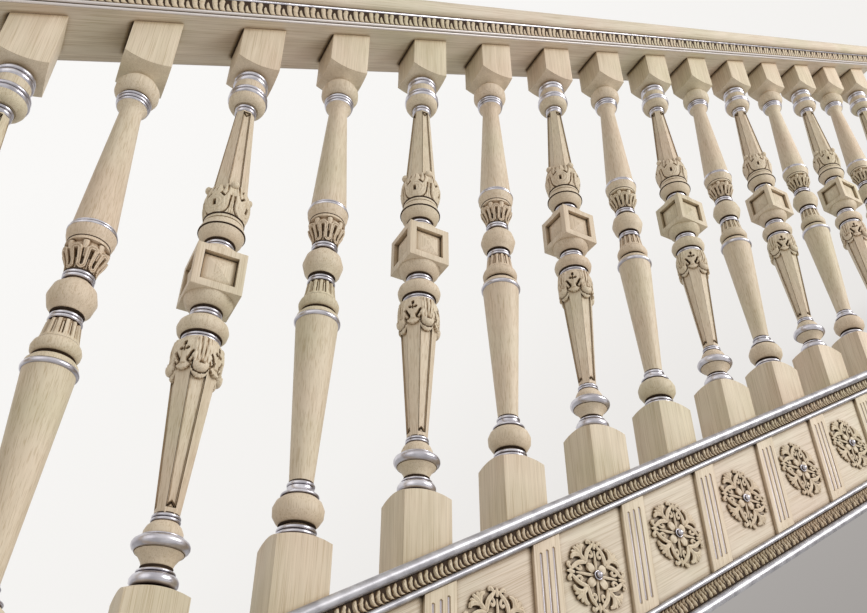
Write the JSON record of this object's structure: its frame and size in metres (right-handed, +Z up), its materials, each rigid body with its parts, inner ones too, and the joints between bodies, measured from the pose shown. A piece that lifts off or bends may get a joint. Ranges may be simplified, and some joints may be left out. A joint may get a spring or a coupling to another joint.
{
  "type": "raking stair balustrade",
  "caption": "Straight run of wooden stair balustrade: turned and carved balusters between a moulded handrail and a closed string with pilasters and silvered mouldings.",
  "frame": {"origin": "on the flat back face of the string timber, at the middle of its length and height", "axes": "+X goes up the stair along its plan, +Y points from the open side to the stair, +Z is up"},
  "size_m": [2.04, 0.135, 2.3155],
  "materials": {
    "oak": "limed oak, dull wax",
    "carved_oak": "carved limed oak with brown patina in the hollows",
    "silver_leaf": "burnished silver leaf on wood"
  },
  "bodies": {
    "root": {"panelled_baluster_1": "oak", "panelled_baluster_2": "oak", "panelled_baluster_3": "oak", "panelled_baluster_4": "oak", "panelled_baluster_5": "oak", "panelled_baluster_6": "oak", "panelled_baluster_7": "oak", "panelled_baluster_8": "oak", "ball_baluster_1": "oak", "ball_baluster_2": "oak", "ball_baluster_3": "oak", "ball_baluster_4": "oak", "ball_baluster_5": "oak", "ball_baluster_6": "oak", "ball_baluster_7": "oak", "handrail": "oak", "sub_rail": "oak", "string_timber": "oak", "string_face_board": "oak", "string_cap": "oak", "rail_friezes": "carved_oak", "string_upper_frieze": "carved_oak", "string_lower_frieze": "carved_oak", "string_pilasters": "carved_oak", "string_ornaments": "carved_oak", "string_upper_torus": "silver_leaf", "string_upper_bead": "silver_leaf", "string_lower_bead": "silver_leaf", "string_foot_torus": "silver_leaf", "rail_lower_beads": "silver_leaf", "rail_upper_beads": "silver_leaf"}
  },
  "joints": []
}
